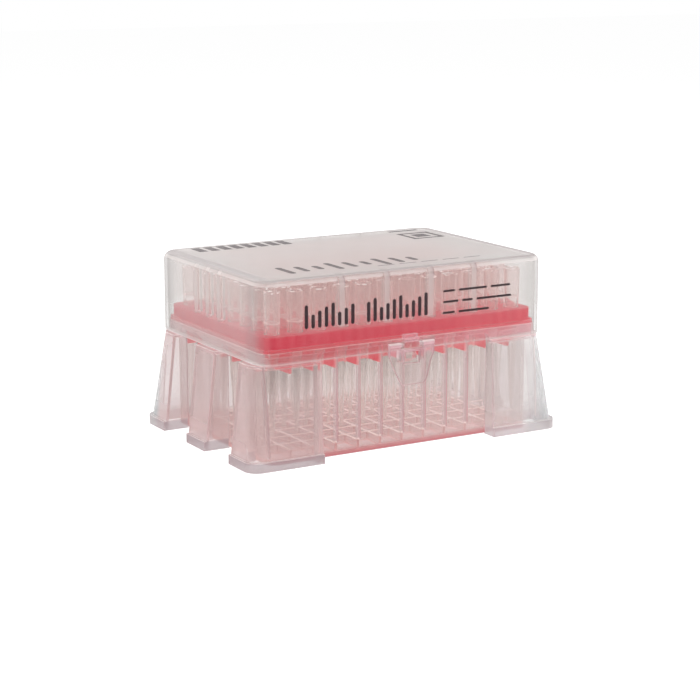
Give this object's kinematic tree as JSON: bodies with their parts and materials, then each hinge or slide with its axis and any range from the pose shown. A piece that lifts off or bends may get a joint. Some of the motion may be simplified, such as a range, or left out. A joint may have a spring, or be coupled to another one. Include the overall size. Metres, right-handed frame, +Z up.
{
  "type": "box of pipette tips",
  "caption": "Hinged rack of pipette tips: clear base with splayed feet, coral deck holding the tips on a grid, frosted lid and a front finger latch.",
  "frame": {"origin": "middle of the rack's footprint, on the surface it stands on", "axes": "+X along the long side, +Y towards the hinge, +Z up; the latch faces -Y"},
  "size_m": [0.1278, 0.0867, 0.0649],
  "materials": {
    "base": "clear moulded polypropylene, glossy",
    "deck": "coral moulded polypropylene, satin gloss",
    "lid": "frosted translucent polypropylene",
    "latch": "frosted translucent polypropylene, thin",
    "tip": "clear polypropylene, glossy"
  },
  "bodies": {
    "rack": {"base": "base", "deck": "deck", "tip_column_1": "tip", "tip_column_2": "tip", "tip_column_3": "tip", "tip_column_4": "tip", "tip_column_5": "tip", "tip_column_6": "tip", "tip_column_7": "tip", "tip_column_8": "tip", "tip_column_9": "tip", "tip_column_10": "tip", "tip_column_11": "tip", "tip_column_12": "tip"},
    "lid": {"lid": "lid"},
    "latch": {"latch": "latch"}
  },
  "joints": [
    {"name": "lid_hinge", "type": "hinge", "parent": "rack", "child": "lid", "pos_m": [0, 0.04065, 0.0334], "axis": [-1, 0, 0], "range_deg": [0, 115]},
    {"name": "latch_swing", "type": "hinge", "parent": "lid", "child": "latch", "pos_m": [0, -0.04205, 0.0382], "axis": [-1, 0, 0], "range_deg": [0, 45]}
  ]
}
